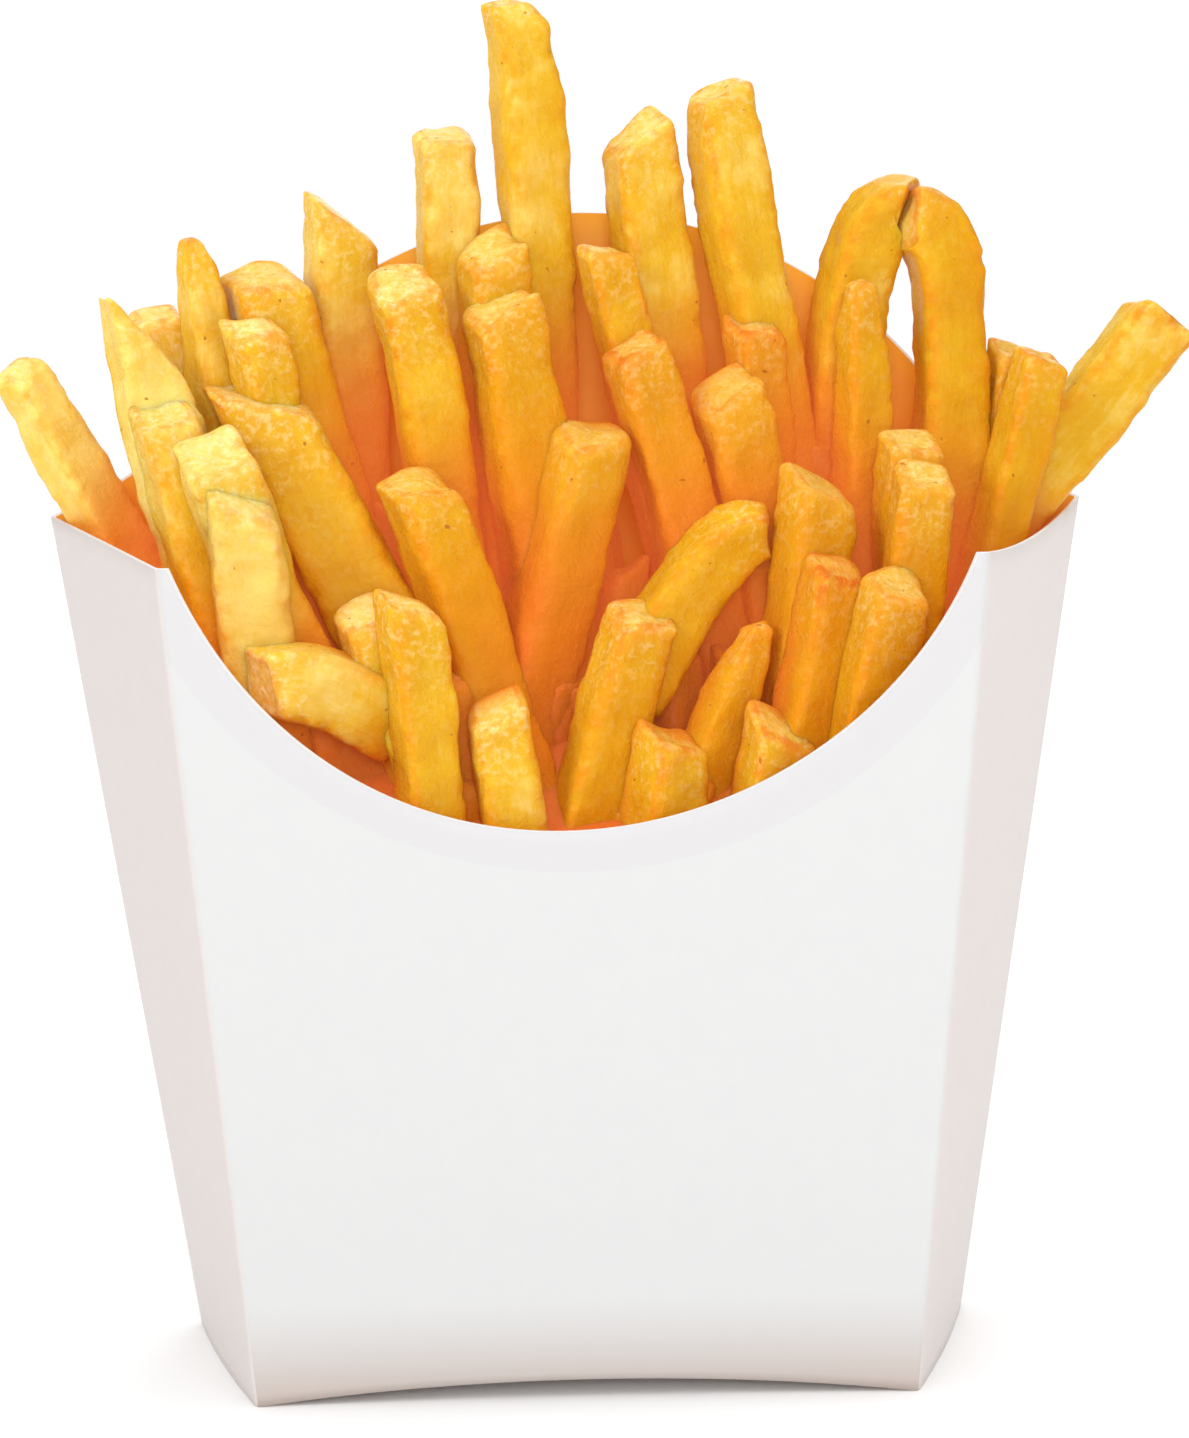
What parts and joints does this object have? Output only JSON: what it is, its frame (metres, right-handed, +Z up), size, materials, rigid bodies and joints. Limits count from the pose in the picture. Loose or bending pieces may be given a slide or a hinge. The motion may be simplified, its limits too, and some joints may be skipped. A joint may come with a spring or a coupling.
{
  "type": "french fries in a carton",
  "caption": "Open folded paperboard carton, scooped at the front and arched at the back, heaped with upright golden french fries.",
  "frame": {"origin": "on the surface that the carton stands on, under the middle of the box around the whole serving", "axes": "+Z up, -Y towards the scooped front, +X to the right as the front is seen"},
  "size_m": [0.16, 0.053, 0.1812],
  "materials": {
    "board": "Smooth white paperboard, bare outside and golden yellow inside, with paler cut edges.",
    "fried_potato": "Fried potato, pale to deep golden yellow with browned edges and ends and a thin oily sheen."
  },
  "bodies": {
    "root": {"carton": "board", "fries": "fried_potato"}
  },
  "joints": []
}
